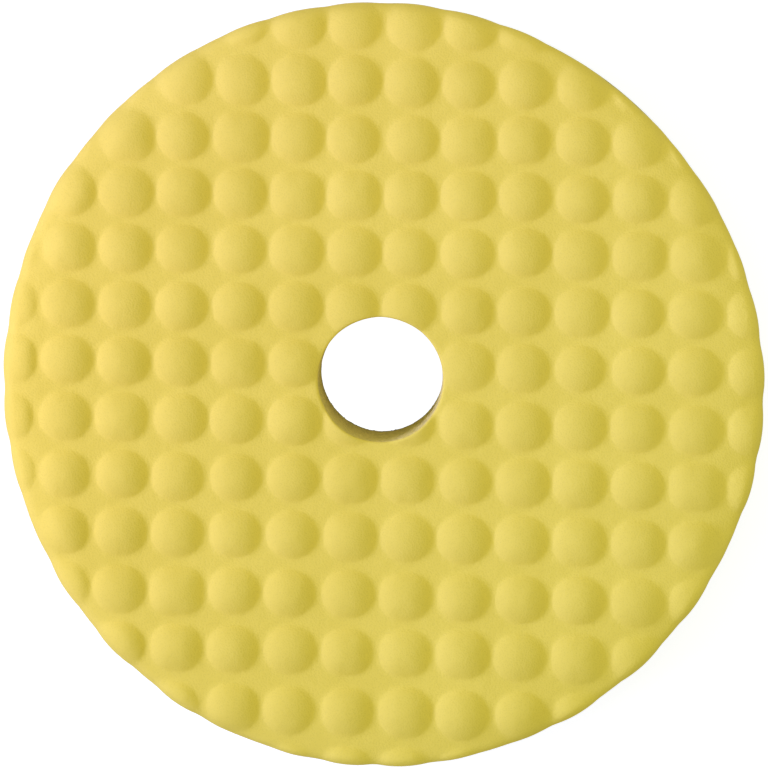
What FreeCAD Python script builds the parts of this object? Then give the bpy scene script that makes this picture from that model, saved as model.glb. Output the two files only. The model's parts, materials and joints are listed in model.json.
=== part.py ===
import FreeCAD, Part
import os
import Sketcher

# A 152 mm buffing pad for a rotary or dual-action polisher: a disc of yellow polyurethane
# foam with round bumps moulded over its working face, bonded by a hot-melt film to a disc
# of loop fabric, with one bore through all three.
# Millimetres. +Z runs out of the bumped face, the loop fabric lies on Z = 0, and the
# bore's axis is the Z axis. X runs along the rows of bumps.

DIMENSIONS = [
    ("pad_diameter", 152.0, "foam disc, outside"),
    ("backing_diameter", 150.0, "film and loop fabric, outside"),
    ("bore_diameter", 25.0, "hole through foam, film and loop fabric"),
    ("loop_thickness", 2.0, "loop fabric with its pile"),
    ("film_thickness", 0.3, "hot-melt film"),
    ("foam_thickness", 21.1, "foam, from the film to the valleys between bumps"),
    ("bump_height", 1.6, "valley to crown"),
    ("bump_diameter", 10.4, "bump where it meets the valley"),
    ("bump_pitch", 11.4, "bump to bump, along and across the rows"),
    ("bump_root", 0.2, "how far a bump's solid runs down into the foam"),
    ("bump_along", -5.45, "nearest bump to the bore, along X"),
    ("bump_across", 2.43, "nearest bump to the bore, along Y"),
    ("columns_before", 6, "columns of bumps on the -X side of the nearest one"),
    ("rows_before", 7, "rows of bumps on the -Y side of the nearest one"),
    ("bumps_in_row", 14, "bumps in a row of the moulded sheet, and rows in the sheet"),
    ("rim_round", 1.5, "rounding of the outer bumps over the rim"),
    ("sheet_side", 170.0, "square of moulded foam that the disc is cut from"),
]


def make_table(doc):
    """The spreadsheet that drives every sub-part."""
    table = doc.addObject("Spreadsheet::Sheet", "dims")
    for row, (name, value, meaning) in enumerate(DIMENSIONS, start=1):
        table.set(f"A{row}", name)
        table.set(f"B{row}", str(value))
        table.set(f"C{row}", meaning)
        table.setAlias(f"B{row}", name)
    doc.recompute()
    return table


def make_body(doc, label, height=None):
    """A body named label, lifted by the expression height."""
    body = doc.addObject("PartDesign::Body", label)
    body.Label = label
    if height:
        body.setExpression("Placement.Base.z", height)
    return body


def origin_part(body, role):
    """A plane or an axis of the body's own origin."""
    for feature in body.Origin.OriginFeatures:
        if feature.Role == role:
            return feature
    raise ValueError(f"{body.Label} has no {role}")


def add_sketch(body, name, plane):
    sketch = body.newObject("Sketcher::SketchObject", name)
    sketch.AttachmentSupport = [(origin_part(body, plane), "")]
    sketch.MapMode = "FlatFace"
    return sketch


def bind(sketch, index, name, expression):
    """Names a constraint of the sketch and ties it to the table."""
    sketch.renameConstraint(index, name)
    sketch.setExpression(f"Constraints.{name}", expression)


def add_circle(sketch, name, diameter):
    """A circle about the sketch's origin, its diameter tied to the table."""
    rough = FreeCAD.Vector(0, 0, 0), FreeCAD.Vector(0, 0, 1)
    circle = sketch.addGeometry(Part.Circle(rough[0], rough[1], 10), False)
    sketch.addConstraint(Sketcher.Constraint("Coincident", circle, 3, -1, 1))
    index = sketch.addConstraint(Sketcher.Constraint("Diameter", circle, 10))
    bind(sketch, index, name, diameter)


def add_square(sketch, side):
    """A square about the sketch's origin, its side tied to the table."""
    half = 50.0
    corners = [(-half, -half), (half, -half), (half, half), (-half, half)]
    lines = []
    for first, second in zip(corners, corners[1:] + corners[:1]):
        line = Part.LineSegment(FreeCAD.Vector(*first, 0), FreeCAD.Vector(*second, 0))
        lines.append(sketch.addGeometry(line, False))
    for index, line in enumerate(lines):
        following = lines[(index + 1) % len(lines)]
        sketch.addConstraint(Sketcher.Constraint("Coincident", line, 2, following, 1))
        direction = "Horizontal" if index % 2 == 0 else "Vertical"
        sketch.addConstraint(Sketcher.Constraint(direction, line))
    sketch.addConstraint(Sketcher.Constraint("Symmetric", lines[0], 1, lines[1], 2, -1, 1))
    width = sketch.addConstraint(Sketcher.Constraint("DistanceX", lines[0], 1, lines[0], 2, 2 * half))
    bind(sketch, width, "width", side)
    depth = sketch.addConstraint(Sketcher.Constraint("DistanceY", lines[1], 1, lines[1], 2, 2 * half))
    bind(sketch, depth, "depth", side)


def add_ring(doc, label, height, outside, thickness):
    """A flat disc with the bore through it, standing at height."""
    body = make_body(doc, label, height)
    sketch = add_sketch(body, f"{label}_outline", "XY_Plane")
    add_circle(sketch, "outside", outside)
    add_circle(sketch, "bore", "dims.bore_diameter")
    pad = body.newObject("PartDesign::Pad", f"{label}_disc")
    pad.Profile = sketch
    pad.setExpression("Length", thickness)
    body.Tip = pad
    doc.recompute()
    return body


def make_loop_backing(doc):
    """Loop fabric that the hooks of a backing plate grip."""
    return add_ring(doc, "loop_backing", None, "dims.backing_diameter", "dims.loop_thickness")


def make_adhesive_film(doc):
    """Hot-melt film that bonds the loop fabric to the foam."""
    height = "dims.loop_thickness"
    return add_ring(doc, "adhesive_film", height, "dims.backing_diameter", "dims.film_thickness")


def add_foam_sheet(doc, body):
    """The square of foam under the bumps."""
    sketch = add_sketch(body, "sheet_outline", "XY_Plane")
    add_square(sketch, "dims.sheet_side")
    sheet = body.newObject("PartDesign::Pad", "foam_sheet")
    sheet.Profile = sketch
    sheet.setExpression("Length", "dims.foam_thickness")
    body.Tip = sheet
    doc.recompute()


def add_first_bump(doc, body):
    """The bump at the corner of the sheet: a spherical cap, turned about its own axis."""
    sketch = add_sketch(body, "bump_profile", "XZ_Plane")
    corner_x = "dims.bump_along - dims.columns_before * dims.bump_pitch"
    corner_y = "dims.bump_across - dims.rows_before * dims.bump_pitch"
    sketch.setExpression("AttachmentOffset.Base.x", corner_x)
    sketch.setExpression("AttachmentOffset.Base.z", f"-({corner_y})")
    centre = FreeCAD.Vector(0, 15, 0)
    circle = Part.Circle(centre, FreeCAD.Vector(0, 0, 1), 6)
    arc = sketch.addGeometry(Part.ArcOfCircle(circle, 0.5, 1.5707963), False)
    crown = FreeCAD.Vector(0, 21, 0)
    foot = FreeCAD.Vector(0, 18, 0)
    edge = FreeCAD.Vector(5.2, 18, 0)
    axis_line = sketch.addGeometry(Part.LineSegment(crown, foot), False)
    base_line = sketch.addGeometry(Part.LineSegment(foot, edge), False)
    for constraint in (
        Sketcher.Constraint("PointOnObject", arc, 3, -2),
        Sketcher.Constraint("Coincident", arc, 2, axis_line, 1),
        Sketcher.Constraint("Coincident", axis_line, 2, base_line, 1),
        Sketcher.Constraint("Coincident", base_line, 2, arc, 1),
        Sketcher.Constraint("PointOnObject", axis_line, 1, -2),
        Sketcher.Constraint("PointOnObject", axis_line, 2, -2),
        Sketcher.Constraint("Horizontal", base_line),
    ):
        sketch.addConstraint(constraint)
    radius = sketch.addConstraint(Sketcher.Constraint("Radius", arc, 6))
    sphere = "(dims.bump_diameter * dims.bump_diameter / 4 + dims.bump_height * dims.bump_height)"
    bind(sketch, radius, "sphere", sphere + " / (2 * dims.bump_height)")
    top = sketch.addConstraint(Sketcher.Constraint("DistanceY", -1, 1, axis_line, 1, 21))
    bind(sketch, top, "crown", "dims.foam_thickness + dims.bump_height")
    low = sketch.addConstraint(Sketcher.Constraint("DistanceY", -1, 1, axis_line, 2, 18))
    bind(sketch, low, "foot", "dims.foam_thickness - dims.bump_root")
    bump = body.newObject("PartDesign::Revolution", "bump")
    bump.Profile = sketch
    bump.ReferenceAxis = (sketch, ["V_Axis"])
    bump.Angle = 360
    bump.Refine = False
    body.Tip = bump
    doc.recompute()
    return bump


def add_bump_rows(doc, table, body, bump):
    """Rows of bumps over the whole sheet."""
    count = int(table.bumps_in_row)
    rows = body.newObject("PartDesign::LinearPattern", "bump_rows")
    rows.Originals = [bump]
    rows.Direction = (origin_part(body, "X_Axis"), [""])
    rows.Direction2 = (origin_part(body, "Y_Axis"), [""])
    rows.Mode = "Spacing"
    rows.Mode2 = "Spacing"
    rows.Occurrences = count
    rows.Occurrences2 = count
    # -1 takes the common offset; without this line the second row lands on the first
    rows.Spacings2 = [-1.0] * (count - 1)
    rows.setExpression("Offset", "dims.bump_pitch")
    rows.setExpression("Offset2", "dims.bump_pitch")
    rows.setExpression("Occurrences", "dims.bumps_in_row")
    rows.setExpression("Occurrences2", "dims.bumps_in_row")
    rows.Refine = False
    body.Tip = rows
    doc.recompute()


def add_rim_cut(doc, body):
    """Cuts the disc out of the sheet and rounds its outer bumps over the rim."""
    sketch = add_sketch(body, "rim_profile", "XZ_Plane")
    circle = Part.Circle(FreeCAD.Vector(70, 20, 0), FreeCAD.Vector(0, 0, 1), 3)
    arc = sketch.addGeometry(Part.ArcOfCircle(circle, 0, 1.5707963), False)
    points = [(70, 23), (70, 26), (130, 26), (130, -1), (73, -1), (73, 20)]
    lines = []
    for first, second in zip(points, points[1:]):
        line = Part.LineSegment(FreeCAD.Vector(*first, 0), FreeCAD.Vector(*second, 0))
        lines.append(sketch.addGeometry(line, False))
    above, top, far, bottom, side = lines
    for constraint in (
        Sketcher.Constraint("Coincident", arc, 2, above, 1),
        Sketcher.Constraint("Coincident", above, 2, top, 1),
        Sketcher.Constraint("Coincident", top, 2, far, 1),
        Sketcher.Constraint("Coincident", far, 2, bottom, 1),
        Sketcher.Constraint("Coincident", bottom, 2, side, 1),
        Sketcher.Constraint("Tangent", side, 2, arc, 1),
        Sketcher.Constraint("Vertical", above),
        Sketcher.Constraint("Vertical", arc, 2, arc, 3),
        Sketcher.Constraint("Horizontal", top),
        Sketcher.Constraint("Vertical", far),
        Sketcher.Constraint("Horizontal", bottom),
        Sketcher.Constraint("Vertical", side),
        Sketcher.Constraint("DistanceY", above, 1, above, 2, 3),
        Sketcher.Constraint("DistanceY", bottom, 1, -1, 1, 1),
    ):
        sketch.addConstraint(constraint)
    radius = sketch.addConstraint(Sketcher.Constraint("Radius", arc, 3))
    bind(sketch, radius, "rounding", "dims.rim_round")
    outside = sketch.addConstraint(Sketcher.Constraint("DistanceX", -1, 1, side, 1, 73))
    bind(sketch, outside, "outside", "dims.pad_diameter / 2")
    crown = sketch.addConstraint(Sketcher.Constraint("DistanceY", -1, 1, arc, 2, 23))
    bind(sketch, crown, "crown", "dims.foam_thickness + dims.bump_height")
    reach = sketch.addConstraint(Sketcher.Constraint("DistanceX", -1, 1, far, 1, 130))
    bind(sketch, reach, "reach", "dims.sheet_side")
    groove = body.newObject("PartDesign::Groove", "rim_cut")
    groove.Profile = sketch
    groove.ReferenceAxis = (sketch, ["V_Axis"])
    groove.Angle = 360
    groove.Refine = False
    body.Tip = groove
    doc.recompute()


def add_bore(doc, body):
    """Cuts the bore through the foam and the bumps beside it."""
    sketch = add_sketch(body, "bore_outline", "XY_Plane")
    add_circle(sketch, "bore", "dims.bore_diameter")
    bore = body.newObject("PartDesign::Pocket", "centre_bore")
    bore.Profile = sketch
    bore.Type = "ThroughAll"
    bore.Reversed = True
    bore.Refine = False
    body.Tip = bore
    doc.recompute()


def make_foam_pad(doc, table):
    """Foam disc with rows of bumps on its working face."""
    body = make_body(doc, "foam_pad", "dims.loop_thickness + dims.film_thickness")
    add_foam_sheet(doc, body)
    volumes = [body.Shape.Volume]
    bump = add_first_bump(doc, body)
    volumes.append(body.Shape.Volume)
    add_bump_rows(doc, table, body, bump)
    volumes.append(body.Shape.Volume)
    add_rim_cut(doc, body)
    volumes.append(body.Shape.Volume)
    add_bore(doc, body)
    volumes.append(body.Shape.Volume)
    sheet, one_bump, all_bumps, disc, bored = volumes
    if not sheet < one_bump < all_bumps or not all_bumps > disc > bored:
        raise RuntimeError(f"a foam feature changed nothing: {volumes}")
    return body


def check_document(doc):
    """Stops on any object that failed, before a file is written."""
    for item in doc.Objects:
        bad = [state for state in item.State if state in ("Invalid", "Error")]
        if bad:
            raise RuntimeError(f"{item.Label}: {bad}")


def export(body):
    shape = body.Shape
    if shape.isNull() or not shape.isValid() or len(shape.Solids) != 1:
        raise RuntimeError(f"{body.Label} isn't one valid solid")
    shape.exportStep(f"parts/{body.Label}.step")
    box = shape.BoundBox
    print(
        f"{body.Label}: {shape.Volume:.1f} mm3, {len(shape.Faces)} faces,"
        f" X {box.XMin:.2f} to {box.XMax:.2f}, Y {box.YMin:.2f} to {box.YMax:.2f},"
        f" Z {box.ZMin:.2f} to {box.ZMax:.2f}"
    )


def main():
    os.makedirs("parts", exist_ok=True)
    doc = FreeCAD.newDocument("polishing_pad")
    table = make_table(doc)
    bodies = [make_loop_backing(doc), make_adhesive_film(doc), make_foam_pad(doc, table)]
    doc.recompute()
    check_document(doc)
    for body in bodies:
        export(body)


main()
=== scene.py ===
import json
import math
import random
from collections import namedtuple

import bpy
import numpy as np
from mathutils import Matrix, Vector, noise
from mathutils.geometry import delaunay_2d_cdt


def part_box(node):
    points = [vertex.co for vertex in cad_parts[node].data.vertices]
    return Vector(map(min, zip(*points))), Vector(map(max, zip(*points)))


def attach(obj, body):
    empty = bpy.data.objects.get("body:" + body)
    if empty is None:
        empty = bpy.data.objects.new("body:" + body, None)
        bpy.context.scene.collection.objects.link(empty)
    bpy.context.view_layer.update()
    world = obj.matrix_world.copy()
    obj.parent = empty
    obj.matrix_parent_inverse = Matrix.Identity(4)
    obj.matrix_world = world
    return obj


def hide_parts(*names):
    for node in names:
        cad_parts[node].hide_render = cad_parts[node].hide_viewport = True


# A round foam buffing pad that lies on its loop fabric with its bumped face up. The CAD model
# gives the nominal sizes. The foam departs from them as a real pad does: the moulded sheet
# stretched a little before the disc was cut from it, and the disc was cut a little out of true.

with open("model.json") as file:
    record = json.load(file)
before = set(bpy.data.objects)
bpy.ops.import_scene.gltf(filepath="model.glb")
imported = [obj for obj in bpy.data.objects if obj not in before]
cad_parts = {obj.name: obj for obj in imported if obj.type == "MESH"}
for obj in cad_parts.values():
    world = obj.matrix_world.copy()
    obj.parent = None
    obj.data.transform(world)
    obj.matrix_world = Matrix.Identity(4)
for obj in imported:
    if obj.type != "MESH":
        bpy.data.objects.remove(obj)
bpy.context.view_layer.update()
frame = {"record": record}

MM = 0.001  # lengths are in millimetres and become metres where a mesh is made


def top_corner(node):
    """The highest corner of a CAD node, in millimetres."""
    return [round(value / MM, 3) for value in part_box(node)[1]]


def mount_radius(name):
    """The radius of a bore mount of the CAD model, in millimetres."""
    mounts = {mount["name"]: mount for mount in frame["record"]["mounts"]}
    return mounts[name]["dims"]["r_mm"]


# The nominal pad
PAD_RADIUS, _, CROWN = top_corner("foam_pad")
BACKING_RADIUS, _, LOOP_TOP = top_corner("loop_backing")
_, _, FILM_TOP = top_corner("adhesive_film")
BORE_RADIUS = mount_radius("centre_bore")

# The bumps, which stand in a square grid
BUMP_PITCH = 11.4
BUMP_ALONG = -5.45  # nearest bump to the bore, along X
BUMP_ACROSS = 2.43  # and along Y
BUMP_RADIUS = 5.3  # along the rows
BUMP_NARROW = 0.94  # across them, as a share of that
BUMP_HEIGHT = 1.6
VALLEY = CROWN - BUMP_HEIGHT
CREASE = 0.25  # width of the soft fillet where a bump meets the valley
BUMP_MARGIN = 1.5  # further than this past its radius, a bump isn't felt
COLUMNS = range(-7, 9)
ROWS = range(-8, 8)

# How much the bumps differ from one another
RADIUS_SPREAD = 0.02  # as a share of the radius
HEIGHT_SPREAD = 0.05  # as a share of the height
BUMP_DRIFT = 0.12
ROUNDEST = 2.08  # 2 is a true circle, and more is squarer
SQUARENESS = 0.22

# How the disc was cut
PAD_SHIFT = (0.3, -1.75)  # the disc's centre, seen from the bore's
OVERSIZE = 0.22  # how much more than nominal the mean radius is
OVAL = 0.52  # and how much more again along the long axis, and less across it
LONG_AXIS = math.radians(-61.0)
LOBES = ((3, 0.16), (4, 0.08))  # how many there are round the rim, and how high they are
CUT_REACH = 14.0  # how far in from the rim the foam follows the cut's shape

# The rim and the edge of the bore
RIM_BULGE = 0.24  # a bump that the rim cuts swells out this far
BULGE_FROM = 1.6  # and the bump's height is taken this far inside the rim
BULGE_MEAN = 0.35  # share of a bump's height that the rim meets on average
RIM_ROUND = 2.2  # rounding at -X, where it is widest
RIM_ROUND_LEAST = 1.3  # and at +X
RIM_DROOP = ((0.8, 15.0), (1.0, 7.0))  # the face sinks this deep over this width
RIM_TAPER = 0.3  # how much less than nominal the foam's radius is at the film
SCALLOP_END = 0.55  # share of the way down the wall over which the bumps' scallops fade out
RIM_WAIST = 0.45  # how far the cut wall bends in, halfway down
BORE_ROUND = 0.5
BORE_WAIST = 0.15

# The film and the loop fabric
FILM_EDGE = ((LOOP_TOP, 0.05), (LOOP_TOP + 0.15, 0.0), (FILM_TOP, 0.05))  # height and inset
FABRIC_EDGE = (0.7, 1.2, 1.7, LOOP_TOP)  # heights
TRIM_OUTSIDE = -0.12  # from the nominal radius to the fabric's mean edge
TRIM_INSIDE = 0.10
PILE_FROM = BORE_RADIUS + 0.3
PILE_TO = BACKING_RADIUS - 0.4
PILE = 0.25  # mean height of the pile's underside
PILE_LEAST = 0.02

# The loops of yarn along the fabric's edges
LOOPS_OUTSIDE = 1500
LOOPS_INSIDE = 260
LOOP_STEPS = 7
YARN_RADIUS = 0.055
YARN_SIDES = 3
YARN_ROOT = 0.3  # how deep in the fabric a loop begins
YARN_TOP = LOOP_TOP - 0.05

# Unevenness, in layers of smooth noise that each have a depth, a wavelength and a seed
FACE_WAVES = ((0.10, 15.0, 1), (0.05, 2.6, 2))
OUTLINE_WAVES = ((0.12, 12.0, 3), (0.10, 55.0, 4))
RIM_WALL_WAVES = ((0.10, 9.0, 21), (0.04, 2.2, 22))
BORE_WALL_WAVES = ((0.10, 9.0, 31), (0.04, 2.2, 32))
FILM_OUTSIDE_WAVES = ((0.18, 4.0, 41),)
FILM_INSIDE_WAVES = ((-0.10, 4.0, 43),)
PILE_WAVES = ((0.18, 1.5, 51), (0.08, 12.0, 52))
FABRIC_OUTSIDE_WAVES = ((0.12, 1.6, 53),)
FABRIC_INSIDE_WAVES = ((0.08, 1.2, 54),)

# Painted light: how much more red, green and blue the foam is at the rim, along each axis, a tint of the
# light across the pad painted into its colour
PAINTED_LIGHT_TINT = {"X": (0.013, 0.042, 0.085), "Y": (0.019, -0.007, 0.074)}

# How fine the meshes are
RIM_POINTS = 640
BORE_POINTS = 176
RIM_STEPS = (0, 13, 27, 42, 57, 73, 90)  # degrees round the rounding
BORE_STEPS = (0, 30, 60, 90)
RIM_GAP = 0.35  # between the last of those rings and the points of the face
BORE_GAP = 0.3
WALL_ROWS = 18
GRID_STEP = 0.85
GRID_JITTER = 0.15
GRID_CLEARANCE = 1.08  # how far the grid keeps from a bump, as a share of its radius
BUMP_RINGS = (  # share of the bump's radius, and points in the ring
    (0.0, 1), (0.14, 7), (0.28, 13), (0.42, 19), (0.55, 25), (0.67, 30), (0.77, 34),
    (0.85, 38), (0.91, 40), (0.95, 40), (0.98, 40), (1.005, 40), (1.03, 40),
)
FILM_POINTS = 480
FABRIC_POINTS = 420
FABRIC_RINGS = 84
SAME_POINT = 1e-7  # points of the plan that are this close are one
SHARP_EDGE = math.radians(50.0)  # a crease sharper than this isn't shaded smooth


# ---------------------------------------------------------------- small helpers

def smooth_step(low, high, value):
    """0 where value is below low, 1 where it is above high, with no corner between."""
    share = np.clip((value - low) / (high - low), 0.0, 1.0)
    return share * share * (3.0 - 2.0 * share)


def smooth_max(first, second, width):
    """The greater of the two, rounded where they are within width of each other."""
    overlap = np.maximum(width - np.abs(first - second), 0.0)
    return np.maximum(first, second) + overlap * overlap / (4.0 * width)


def quarter_round(inset, rounding):
    """How far a rounded edge lies below its face, at inset from the edge."""
    left = rounding - np.clip(inset, 0.0, rounding)
    return rounding - np.sqrt(np.maximum(rounding ** 2 - left ** 2, 0.0))


def waviness(points, wavelength, seed):
    """Smooth noise from -1 to 1 at each point, about one wave per wavelength."""
    offset = Vector((seed * 13.7, seed * 7.3, seed * 3.1))
    return np.array([
        noise.fractal(Vector(point) / wavelength + offset, 1.0, 2.0, 2)
        for point in points
    ])


def waves(points, layers):
    """The layers' noise added up at each point."""
    return sum(depth * waviness(points, wavelength, seed) for depth, wavelength, seed in layers)


def ring(radius, count, turn=0.0):
    """A circle of points in the plan."""
    angles = turn + np.arange(count) * (2.0 * math.pi / count)
    return np.column_stack((radius * np.cos(angles), radius * np.sin(angles)))


def raised(plan, height):
    """The plan's points at a height."""
    return np.column_stack((plan, np.full(len(plan), height)))


def strip(first, second, count):
    """Quads between two closed loops of vertices that begin at first and second."""
    faces = []
    for k in range(count):
        n = (k + 1) % count
        faces.append((first + k, first + n, second + n, second + k))
    return faces


def ring_faces(levels):
    """Quads from each loop of a closed ring's section to the next, and back to the first."""
    count = len(levels[0])
    faces = []
    for k in range(len(levels)):
        following = (k + 1) % len(levels)
        faces += strip(k * count, following * count, count)
    return faces


def triangulate(plan, loops):
    """Triangles over the plan's points. Each loop, as first point and count, is kept as edges."""
    edges = []
    for first, count in loops:
        edges += [(first + k, first + (k + 1) % count) for k in range(count)]
    flat = [Vector(point) for point in plan.tolist()]
    made = delaunay_2d_cdt(flat, edges, [], 0, SAME_POINT)
    faces, sources = made[2], made[3]
    return np.array([[sources[corner][0] for corner in face] for face in faces])


def make_piece(name, points, faces, material):
    """A smooth-shaded object from points in millimetres."""
    mesh = bpy.data.meshes.new(name)
    mesh.from_pydata((np.asarray(points) * MM).tolist(), [], faces)
    mesh.validate()
    mesh.shade_smooth()
    mesh.set_sharp_from_angle(angle=SHARP_EDGE)
    mesh.materials.append(material)
    piece = bpy.data.objects.new(name, mesh)
    bpy.context.scene.collection.objects.link(piece)
    return piece


# ---------------------------------------------------------------- bumps

Bump = namedtuple("Bump", "x y radius rise power")


def stretched(x, y):
    """Where a bump that was moulded at (x, y) lies, because the sheet leaned and bowed."""
    east = x / PAD_RADIUS
    north = y / PAD_RADIUS
    lean_x = -0.4 - 0.3 * north
    lean_y = 0.45 - 0.1 * east + 0.1 * north
    bow_x = 0.15 * east * east - 1.4 * east * north
    bow_y = 0.65 * east * north - 1.5 * north * north - 0.25 * east * east
    return x + lean_x + bow_x, y + lean_y + bow_y


def place_bumps():
    """Every bump of the sheet, each a little different."""
    chance = random.Random(5)
    bumps = []
    for column in COLUMNS:
        for row in ROWS:
            x, y = stretched(BUMP_ALONG + column * BUMP_PITCH, BUMP_ACROSS + row * BUMP_PITCH)
            bumps.append(Bump(
                x=x + chance.gauss(0.0, BUMP_DRIFT),
                y=y + chance.gauss(0.0, BUMP_DRIFT),
                radius=BUMP_RADIUS * (1.0 + chance.gauss(0.0, RADIUS_SPREAD)),
                rise=BUMP_HEIGHT * (1.0 + chance.gauss(0.0, HEIGHT_SPREAD)),
                power=ROUNDEST + abs(chance.gauss(0.0, SQUARENESS)),
            ))
    return bumps


BUMPS = place_bumps()


def rounded_square(offset, power):
    """Distance of each point from the middle, as a circle of that power measures it."""
    across, along = np.abs(offset).T
    return (across ** power + along ** power) ** (1.0 / power)


def reach_from(bump, plan):
    """Distance of each point from a bump's middle, in the bump's own shape."""
    return rounded_square((plan - (bump.x, bump.y)) / (1.0, BUMP_NARROW), bump.power)


def bump_surface(plan):
    """Height of the moulded surface over the valleys."""
    height = np.zeros(len(plan))
    for bump in BUMPS:
        near = (np.abs(plan - (bump.x, bump.y)) < bump.radius + BUMP_MARGIN).all(axis=1)
        if not near.any():
            continue
        sphere = (bump.radius ** 2 + bump.rise ** 2) / (2.0 * bump.rise)
        reach = reach_from(bump, plan[near])
        cap = np.sqrt(np.maximum(sphere ** 2 - reach ** 2, 0.0)) - (sphere - bump.rise)
        height[near] = smooth_max(height[near], cap, CREASE)
    return height


# ---------------------------------------------------------------- foam

def pad_outline(angles):
    """The disc's outside radius at each angle: oval, lobed, and scalloped by the bumps."""
    directions = np.column_stack((np.cos(angles), np.sin(angles)))
    outline = PAD_RADIUS + OVERSIZE + OVAL * np.cos(2.0 * (angles - LONG_AXIS))
    for number, depth in LOBES:
        outline += depth * np.cos(number * angles)
    just_inside = directions * (PAD_RADIUS - BULGE_FROM) + PAD_SHIFT
    outline += RIM_BULGE * (bump_surface(just_inside) / BUMP_HEIGHT - BULGE_MEAN)
    return outline + waves(raised(directions * PAD_RADIUS, 0.0), OUTLINE_WAVES)


def edge_rings(radius, rounding, steps, count):
    """Rings of points across a rounded edge. A negative rounding lies inside the radius."""
    rings = []
    for degrees in steps:
        width = rounding * (1.0 - math.cos(math.radians(degrees)))
        rings.append(ring(radius + width, count))
    return rings


def bump_points(chance):
    """Rings of points round every bump."""
    points = []
    for bump in BUMPS:
        for share, count in BUMP_RINGS:
            circle = ring(1.0, count, chance.uniform(0.0, 1.0))
            circle /= rounded_square(circle, bump.power)[:, None]
            points.append(circle * share * bump.radius * (1.0, BUMP_NARROW) + (bump.x, bump.y))
    return points


def valley_points(chance):
    """A loose grid of points between the bumps."""
    side = np.arange(-PAD_RADIUS, PAD_RADIUS, GRID_STEP)
    grid = np.array([
        (x + chance.uniform(-GRID_JITTER, GRID_JITTER), y + chance.uniform(-GRID_JITTER, GRID_JITTER))
        for x in side
        for y in side
    ])
    clear = np.ones(len(grid), bool)
    for bump in BUMPS:
        clear &= reach_from(bump, grid) > bump.radius * GRID_CLEARANCE
    return grid[clear]


def face_points():
    """The face's points in the plan: the rim's rings, the bore's rings, and what is between."""
    rim_rings = edge_rings(PAD_RADIUS, -RIM_ROUND, RIM_STEPS, RIM_POINTS)
    bore_rings = edge_rings(BORE_RADIUS, BORE_ROUND, BORE_STEPS, BORE_POINTS)
    chance = random.Random(11)
    loose = np.vstack(bump_points(chance) + [valley_points(chance)])
    from_rim = PAD_RADIUS - np.hypot(*(loose - PAD_SHIFT).T)
    from_bore = np.hypot(*loose.T) - BORE_RADIUS
    loose = loose[(from_rim > RIM_ROUND + RIM_GAP) & (from_bore > BORE_ROUND + BORE_GAP)]
    return np.vstack(rim_rings) + PAD_SHIFT, np.vstack(bore_rings), loose


def rim_flattening(inset, west):
    """Share of its height that a bump keeps at inset from the rim. It is least at -X."""
    width = 1.6 + 6.0 * west ** 4
    loss = 0.25 + 0.35 * west ** 4
    return 1.0 - loss * (1.0 - smooth_step(0.0, width, inset))


def foam_face(plan):
    """Where each point of the plan lies on the real face."""
    centred = plan - PAD_SHIFT
    distance = np.hypot(*centred.T)
    inset = PAD_RADIUS - distance
    angles = np.arctan2(centred[:, 1], centred[:, 0])
    west = 0.5 - 0.5 * np.cos(angles)

    outward = centred / np.maximum(distance, 1e-6)[:, None]
    follows = smooth_step(PAD_RADIUS - CUT_REACH, PAD_RADIUS, distance)
    place = plan + outward * (follows * (pad_outline(angles) - PAD_RADIUS))[:, None]

    height = bump_surface(plan) * rim_flattening(inset, west)
    height -= quarter_round(inset, RIM_ROUND_LEAST + (RIM_ROUND - RIM_ROUND_LEAST) * west)
    for depth, width in RIM_DROOP:
        height -= depth * np.clip(1.0 - inset / width, 0.0, 1.0) ** 2
    height -= quarter_round(np.hypot(*plan.T) - BORE_RADIUS, BORE_ROUND)
    height += waves(raised(plan, 0.0), FACE_WAVES)
    return np.column_stack((place, VALLEY + height))


def cut_wall(top, bottom_radius, centre, waist, layers):
    """Points of a cut wall, loop under loop, from below the top loop down to the film."""
    across = top[:, :2] - centre
    angles = np.arctan2(across[:, 1], across[:, 0])
    radius = np.hypot(*across.T)
    directions = np.column_stack((np.cos(angles), np.sin(angles)))
    loops = []
    for row in range(1, WALL_ROWS + 1):
        share = row / WALL_ROWS
        middle = math.sin(math.pi * share)
        height = top[:, 2] + (FILM_TOP - top[:, 2]) * share
        around = radius + (bottom_radius - radius) * smooth_step(0.0, SCALLOP_END, share) - waist * middle
        ripple = waves(np.column_stack((directions * around[:, None], height)), layers) * middle
        loops.append(np.column_stack((directions * (around + ripple)[:, None] + centre, height)))
    return np.vstack(loops)


def wall_faces(top, first, count, inward):
    """Quads from the loop at top down through the wall whose points begin at first."""
    faces = []
    above = top
    for below in range(first, first + WALL_ROWS * count, count):
        faces += strip(above, below, count) if inward else strip(below, above, count)
        above = below
    return faces


def underside(points, outer, inner):
    """Triangles that close the foam's flat underside, between the loops that begin at the two."""
    corners = np.r_[outer:outer + RIM_POINTS, inner:inner + BORE_POINTS]
    faces = triangulate(points[corners, :2], ((0, RIM_POINTS), (RIM_POINTS, BORE_POINTS)))
    over_foam = faces.min(axis=1) < RIM_POINTS
    return corners[faces[over_foam, ::-1]].tolist()


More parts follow.
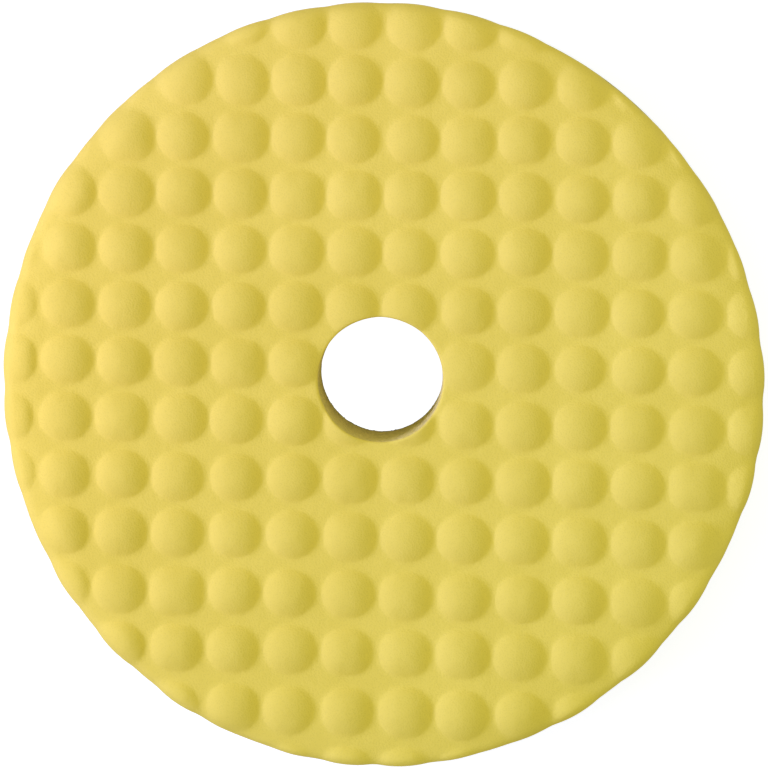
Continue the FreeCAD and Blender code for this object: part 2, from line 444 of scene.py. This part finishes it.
def make_foam(material):
    """The foam: its bumped face, its cut rim and bore, and its underside, as one closed skin."""
    rim_points, bore_points, loose = face_points()
    plan = np.vstack((rim_points, bore_points, loose))
    bore = len(rim_points)
    faces = triangulate(plan, ((0, RIM_POINTS), (bore, BORE_POINTS)))
    over_bore = ((faces >= bore) & (faces < bore + BORE_POINTS)).all(axis=1)
    faces = faces[~over_bore].tolist()

    face = foam_face(plan)
    rim_wall = cut_wall(
        face[:RIM_POINTS], PAD_RADIUS - RIM_TAPER, PAD_SHIFT, RIM_WAIST, RIM_WALL_WAVES)
    bore_wall = cut_wall(
        face[bore:bore + BORE_POINTS], BORE_RADIUS, (0.0, 0.0), BORE_WAIST, BORE_WALL_WAVES)
    points = np.vstack((face, rim_wall, bore_wall))
    rim_end = len(face) + len(rim_wall)
    faces += wall_faces(0, len(face), RIM_POINTS, False)
    faces += wall_faces(bore, rim_end, BORE_POINTS, True)
    faces += underside(points, rim_end - RIM_POINTS, len(points) - BORE_POINTS)
    return make_piece("foam_pad_moulded", points, faces, material)


# ---------------------------------------------------------------- film and loop fabric

def film_edge(radius, centre, layers, outward):
    """The film's cut edge, level by level: its points lie on FILM_EDGE's heights."""
    edge = radius + waves(raised(ring(radius, FILM_POINTS), 0.0), layers)
    levels = []
    for height, inset in FILM_EDGE:
        around = edge - outward * inset
        levels.append(raised(ring(1.0, FILM_POINTS) * around[:, None] + centre, height))
    return levels


def make_film(material):
    """Hot-melt film, squeezed a little past the fabric's edges here and there."""
    levels = film_edge(BACKING_RADIUS, PAD_SHIFT, FILM_OUTSIDE_WAVES, 1.0)
    levels += film_edge(BORE_RADIUS, (0.0, 0.0), FILM_INSIDE_WAVES, -1.0)[::-1]
    return make_piece("adhesive_film_edge", np.vstack(levels), ring_faces(levels), material)


def shift_at(radius):
    """The backing is central on the foam at its outside, and on the bore at its inside."""
    share = (radius - BORE_RADIUS) / (BACKING_RADIUS - BORE_RADIUS)
    return np.array(PAD_SHIFT) * share


def fabric_edge(radius, centre, layers, trim):
    """The fabric's cut edge, level by level, trimmed back a little and ragged."""
    circle = ring(1.0, FABRIC_POINTS)
    levels = []
    for height in FABRIC_EDGE:
        edge = radius + trim + waves(raised(circle * radius, height), layers)
        levels.append(raised(circle * edge[:, None] + centre, height))
    return levels


def make_fabric(material):
    """The fabric: its pile below, its two cut edges, and the side that the film holds."""
    levels = []
    for radius in np.linspace(PILE_FROM, PILE_TO, FABRIC_RINGS):
        circle = raised(ring(radius, FABRIC_POINTS) + shift_at(radius), 0.0)
        circle[:, 2] = np.maximum(PILE + waves(circle, PILE_WAVES), PILE_LEAST)
        levels.append(circle)
    levels += fabric_edge(BACKING_RADIUS, PAD_SHIFT, FABRIC_OUTSIDE_WAVES, TRIM_OUTSIDE)
    levels += fabric_edge(BORE_RADIUS, (0.0, 0.0), FABRIC_INSIDE_WAVES, TRIM_INSIDE)[::-1]
    return make_piece("loop_backing_fabric", np.vstack(levels), ring_faces(levels), material)


def yarn_loop(edge, outward, angle, chance):
    """Points of a loop of yarn that stands out of the fabric's cut edge, ring by ring."""
    root_height = chance.uniform(0.55, 1.5)
    reach = chance.uniform(0.25, 0.6) if outward > 0.0 else chance.uniform(0.1, 0.25)
    width = chance.uniform(0.18, 0.4)
    lean = chance.uniform(-0.5, 0.35)
    twist = chance.uniform(-0.9, 0.9)
    upward = np.array((0.0, 0.0, 1.0))
    radial = np.array((math.cos(angle), math.sin(angle), 0.0))
    tangent = np.array((-math.sin(angle), math.cos(angle), 0.0))
    sideways = tangent * math.cos(twist) + upward * math.sin(twist)
    root = radial * (edge - outward * YARN_ROOT) + upward * root_height
    out = radial * outward + upward * lean
    normal = np.cross(out, sideways)
    normal /= np.linalg.norm(normal)
    points = []
    for turn in np.linspace(0.0, math.pi, LOOP_STEPS):
        centre = root + out * (reach * math.sin(turn)) + sideways * (width * math.cos(turn))
        spoke = out * math.sin(turn) + sideways * math.cos(turn)
        spoke /= np.linalg.norm(spoke)
        for across, along in ring(YARN_RADIUS, YARN_SIDES):
            points.append(centre + spoke * across + normal * along)
    points = np.array(points)
    points[:, 2] = np.clip(points[:, 2], PILE_LEAST, YARN_TOP)
    return points


def yarn_faces(first):
    """Faces of a loop of yarn whose points begin at first: a tube with both ends closed."""
    last = first + (LOOP_STEPS - 1) * YARN_SIDES
    faces = [tuple(range(first, first + YARN_SIDES))[::-1], tuple(range(last, last + YARN_SIDES))]
    for start in range(first, last, YARN_SIDES):
        faces += strip(start, start + YARN_SIDES, YARN_SIDES)
    return faces


def make_fringe(material):
    """Loops of yarn all round the fabric's two cut edges."""
    points = []
    faces = []
    chance = random.Random(17)
    edges = ((BACKING_RADIUS, 1.0, LOOPS_OUTSIDE), (BORE_RADIUS, -1.0, LOOPS_INSIDE))
    for edge, outward, number in edges:
        for k in range(number):
            angle = 2.0 * math.pi * (k + chance.uniform(-0.4, 0.4)) / number
            loop = yarn_loop(edge, outward, angle, chance)
            loop[:, :2] += shift_at(edge)
            faces += yarn_faces(len(points) * len(loop))
            points.append(loop)
    return make_piece("loop_backing_fringe", np.vstack(points), faces, material)


# ---------------------------------------------------------------- materials

class Shader:
    """A material in the making, and the kinds of node that the materials share."""

    def __init__(self, name):
        self.material = bpy.data.materials.new(name)
        self.material.use_nodes = True
        self.nodes = self.material.node_tree.nodes
        self.links = self.material.node_tree.links
        self.surface = self.nodes["Principled BSDF"]
        self.coordinates = self.nodes.new("ShaderNodeTexCoord")
        self.place = self.coordinates.outputs["Object"]

    def put(self, node, inputs):
        """Sets a node's inputs, each to a value or from another node's output."""
        for name, value in inputs.items():
            if isinstance(value, bpy.types.NodeSocket):
                self.links.new(value, node.inputs[name])
            else:
                node.inputs[name].default_value = value

    def add(self, kind, inputs):
        """A new node."""
        node = self.nodes.new(kind)
        self.put(node, inputs)
        return node

    def cells(self, per_metre):
        """Distance from the middle of the nearest of many small cells."""
        inputs = {"Scale": per_metre, "Vector": self.place}
        return self.add("ShaderNodeTexVoronoi", inputs).outputs["Distance"]

    def cloud(self, per_metre, detail):
        """Soft noise from 0 to 1."""
        inputs = {"Scale": per_metre, "Detail": detail, "Vector": self.place}
        return self.add("ShaderNodeTexNoise", inputs).outputs["Fac"]

    def part_of(self, vector, axis):
        """The X, Y or Z of a vector."""
        return self.add("ShaderNodeSeparateXYZ", {"Vector": vector}).outputs[axis]

    def spread(self, value, start, end, at_start, at_end):
        """at_start where value is start, at_end where it is end, and evenly between."""
        inputs = {
            "Value": value,
            "From Min": start,
            "From Max": end,
            "To Min": at_start,
            "To Max": at_end,
        }
        return self.add("ShaderNodeMapRange", inputs).outputs["Result"]

    def ramp(self, value, dark, light):
        """dark where value is under 0.3, light where it is over 0.7, and evenly between."""
        node = self.add("ShaderNodeValToRGB", {"Fac": value})
        for element, position, colour in zip(node.color_ramp.elements, (0.3, 0.7), (dark, light)):
            element.position = position
            element.color = (*colour, 1.0)
        return node.outputs["Color"]

    def mix(self, first, second, factor=1.0, blend="MIX"):
        """Two colours mixed."""
        node = self.nodes.new("ShaderNodeMix")
        node.data_type = "RGBA"
        node.blend_type = blend
        self.put(node, {"Factor": factor, "A": first, "B": second})
        return node.outputs["Result"]

    def drift(self, axis, reach, change):
        """White that changes evenly, by minus change at -reach to plus change at reach."""
        share = self.spread(self.part_of(self.place, axis), -reach, reach, 0.0, 1.0)
        less = (*(1.0 - part for part in change), 1.0)
        more = (*(1.0 + part for part in change), 1.0)
        return self.mix(less, more, factor=share)

    def bump(self, height, strength, depth, under=None):
        """Relief as deep as depth in metres, over the relief under it."""
        node = self.add("ShaderNodeBump", {"Height": height, "Strength": strength, "Distance": depth})
        if under:
            self.put(node, {"Normal": under})
        return node.outputs["Normal"]


def foam_material():
    """Yellow open-cell foam: a moulded skin with fine pores, and open cells where it was cut. Its colour
    also holds painted shade in the pores and cells, painted light in the valleys, and a painted tint of
    the light across the pad.
    """
    shader = Shader("yellow_foam")
    pores = shader.cells(2600.0)
    open_cells = shader.cells(1300.0)
    facing_up = shader.part_of(shader.coordinates.outputs["Normal"], "Z")
    cut = shader.spread(facing_up, 0.18, 0.40, 1.0, 0.0)
    skin = shader.ramp(shader.cloud(45.0, 2.0), (0.713, 0.577, 0.101), (0.753, 0.612, 0.117))
    # Painted shade: the cut wall darkens toward the middle of each open cell, where its hollow lies in
    # shade, and is a little lighter between cells
    painted_cell_shade = shader.spread(open_cells, 0.0, 0.5, 0.78, 1.06)
    wall = shader.mix((0.76, 0.64, 0.20, 1.0), painted_cell_shade, blend="MULTIPLY")
    colour = shader.mix(skin, wall, factor=cut)
    # Painted shade: darker toward the middle of each pore, where its hollow lies in shade
    colour = shader.mix(colour, shader.spread(pores, 0.0, 0.45, 0.93, 1.02), blend="MULTIPLY")
    # Painted light: the foam at and below the valley floor is painted 3% lighter, fading to none at 0.7
    # of the bumps' height above it
    low = VALLEY * MM
    high = (VALLEY + 0.7 * BUMP_HEIGHT) * MM
    valleys = shader.spread(shader.part_of(shader.place, "Z"), low, high, 1.03, 1.0)
    colour = shader.mix(colour, valleys, blend="MULTIPLY")
    # Painted light: the light's tint across the pad, paler and greener towards +X and paler towards +Y
    for axis, drift in PAINTED_LIGHT_TINT.items():
        colour = shader.mix(colour, shader.drift(axis, PAD_RADIUS * MM, drift), blend="MULTIPLY")
    relief = shader.bump(pores, 0.35, 0.00012)
    relief = shader.bump(shader.cloud(700.0, 4.0), 0.3, 0.0002, relief)
    relief = shader.bump(open_cells, cut, 0.0003, relief)
    shader.put(shader.surface, {
        "Base Color": colour,
        "Roughness": 0.85,
        "Specular IOR Level": 0.25,
        "Normal": relief,
    })
    return shader.material


def film_material():
    """Hot-melt film, a dull amber."""
    shader = Shader("hot_melt_film")
    shader.put(shader.surface, {"Base Color": (0.55, 0.5, 0.36, 1.0), "Roughness": 0.35})
    return shader.material


def fabric_material():
    """Dark grey knitted loops."""
    shader = Shader("loop_fabric")
    threads = shader.cloud(1800.0, 3.0)
    shader.put(shader.surface, {
        "Base Color": shader.ramp(threads, (0.072, 0.069, 0.054), (0.153, 0.147, 0.115)),
        "Roughness": 0.9,
        "Sheen Weight": 0.2,
        "Normal": shader.bump(threads, 0.8, 0.0002),
    })
    return shader.material


def floor_material():
    """A white table that glows a little, and most under the bore."""
    shader = Shader("pale_table")
    reach = shader.nodes.new("ShaderNodeVectorMath")
    reach.operation = "LENGTH"
    shader.put(reach, {"Vector": shader.place})
    bore = BORE_RADIUS * MM
    shader.put(shader.surface, {
        "Base Color": (0.40, 0.41, 0.47, 1.0),
        "Roughness": 0.9,
        "Emission Color": (0.94, 0.95, 1.0, 1.0),
        "Emission Strength": shader.spread(reach.outputs["Value"], bore, 2.0 * bore, 1.05, 0.81),
    })
    return shader.material


def backdrop_material():
    """Plain white, as bright as the table, so that the two run into each other."""
    shader = Shader("white_backdrop")
    shader.put(shader.surface, {
        "Base Color": (0.0, 0.0, 0.0, 1.0),
        "Emission Color": (1.0, 1.0, 1.0, 1.0),
        "Emission Strength": 1.0,
    })
    return shader.material


def card_material():
    """Dark grey card, with a faint glow for the light that a real bore lets in."""
    shader = Shader("dark_card")
    shader.put(shader.surface, {
        "Base Color": (0.05, 0.05, 0.05, 1.0),
        "Roughness": 1.0,
        "Specular IOR Level": 0.0,
        "Emission Color": (1.0, 1.0, 1.0, 1.0),
        "Emission Strength": 0.06,
    })
    return shader.material


# ---------------------------------------------------------------- stage, in metres

STAGE_POINTS = 48
STAGE_RADIUS = 3.0
BACKDROP_HEIGHT = 4.0
CARD_RADIUS = 0.085
CARD_DEPTH = 0.0005  # under the table's top
FACE_CENTRE = (0.0, 0.0, 0.02)


def add_stage_piece(name, points, faces, material, lights_the_pad):
    """Part of the studio. Without lights_the_pad the camera sees it, and light passes it."""
    mesh = bpy.data.meshes.new(name)
    mesh.from_pydata(points.tolist(), [], faces)
    mesh.materials.append(material)
    piece = bpy.data.objects.new(name, mesh)
    if not lights_the_pad:
        piece.visible_diffuse = False
        piece.visible_glossy = False
        piece.visible_shadow = False
    bpy.context.scene.collection.objects.link(piece)


def add_floor():
    """A white table and backdrop, with dark card under the pad to keep the bore dark."""
    disc = [tuple(range(STAGE_POINTS))]
    table = raised(ring(STAGE_RADIUS, STAGE_POINTS), 0.0)
    add_stage_piece("table_top", table, disc, floor_material(), False)
    wall = np.vstack((table, table + (0.0, 0.0, BACKDROP_HEIGHT)))
    around = strip(0, STAGE_POINTS, STAGE_POINTS)
    add_stage_piece("backdrop", wall, around, backdrop_material(), False)
    card = raised(ring(CARD_RADIUS, STAGE_POINTS), -CARD_DEPTH)
    add_stage_piece("dark_card", card, disc, card_material(), True)


def facing(away, up):
    """The turn of a lamp or camera that has its back to away and its top towards up."""
    right = up.cross(away).normalized()
    return Matrix((right, away.cross(right), away)).transposed().to_4x4()


def add_soft_box(name, place, target, length, width, power, colour):
    """A rectangular lamp, length along Y, that faces target."""
    data = bpy.data.lights.new(name, "AREA")
    data.shape = "RECTANGLE"
    data.size = width
    data.size_y = length
    data.energy = power
    data.color = colour
    lamp = bpy.data.objects.new(name, data)
    away = (Vector(place) - Vector(target)).normalized()
    lamp.matrix_world = Matrix.Translation(place) @ facing(away, Vector((0.0, 1.0, 0.0)))
    lamp.visible_camera = False
    bpy.context.scene.collection.objects.link(lamp)


def add_lights():
    """A low window-like light from the left in a cream room, with a reflector near the rim."""
    world = bpy.data.worlds.new("studio")
    world.use_nodes = True
    background = world.node_tree.nodes["Background"]
    background.inputs["Color"].default_value = (1.0, 0.985, 0.63, 1.0)
    background.inputs["Strength"].default_value = 0.58
    bpy.context.scene.world = world
    add_soft_box(
        "key_left", place=(-0.85, 0.0, 0.37), target=FACE_CENTRE,
        length=0.9, width=0.22, power=4.95, colour=(1.0, 1.01, 2.45),
    )
    add_soft_box(
        "reflector", place=(-0.111, 0.0, 0.045), target=(-0.07, 0.0, 0.02),
        length=0.14, width=0.012, power=0.0085, colour=(1.0, 0.74, 0.55),
    )
    add_soft_box(
        "overhead", place=(0.05, 0.17, 0.5), target=FACE_CENTRE,
        length=0.16, width=0.3, power=0.59, colour=(1.0, 0.995, 0.65),
    )


def add_camera():
    """Nearly straight down on the pad, leaning a little towards +Y."""
    target = Vector((0.00067, -0.00114, 0.0202))
    distance = 0.90
    lean = math.radians(5.35)
    side = math.radians(12.5)
    roll = math.radians(-0.95)
    data = bpy.data.cameras.new("camera")
    data.lens = 210.9
    data.sensor_width = 36.0
    data.clip_start = 0.05
    camera = bpy.data.objects.new("camera", data)
    away = Vector((
        math.sin(lean) * math.sin(side),
        math.sin(lean) * math.cos(side),
        math.cos(lean),
    ))
    up = Vector((math.sin(roll), math.cos(roll), 0.0))
    camera.matrix_world = Matrix.Translation(target + away * distance) @ facing(away, up)
    bpy.context.scene.collection.objects.link(camera)
    bpy.context.scene.camera = camera


# ---------------------------------------------------------------- the scene

def main():
    foam = make_foam(foam_material())
    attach(foam, "root")
    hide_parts("foam_pad")

    film = make_film(film_material())
    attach(film, "root")
    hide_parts("adhesive_film")

    yarn = fabric_material()
    fabric = make_fabric(yarn)
    fringe = make_fringe(yarn)
    for piece in (fabric, fringe):
        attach(piece, "root")
    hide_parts("loop_backing")

    add_floor()
    add_lights()
    add_camera()
    bpy.context.scene.view_settings.view_transform = "Standard"


main()
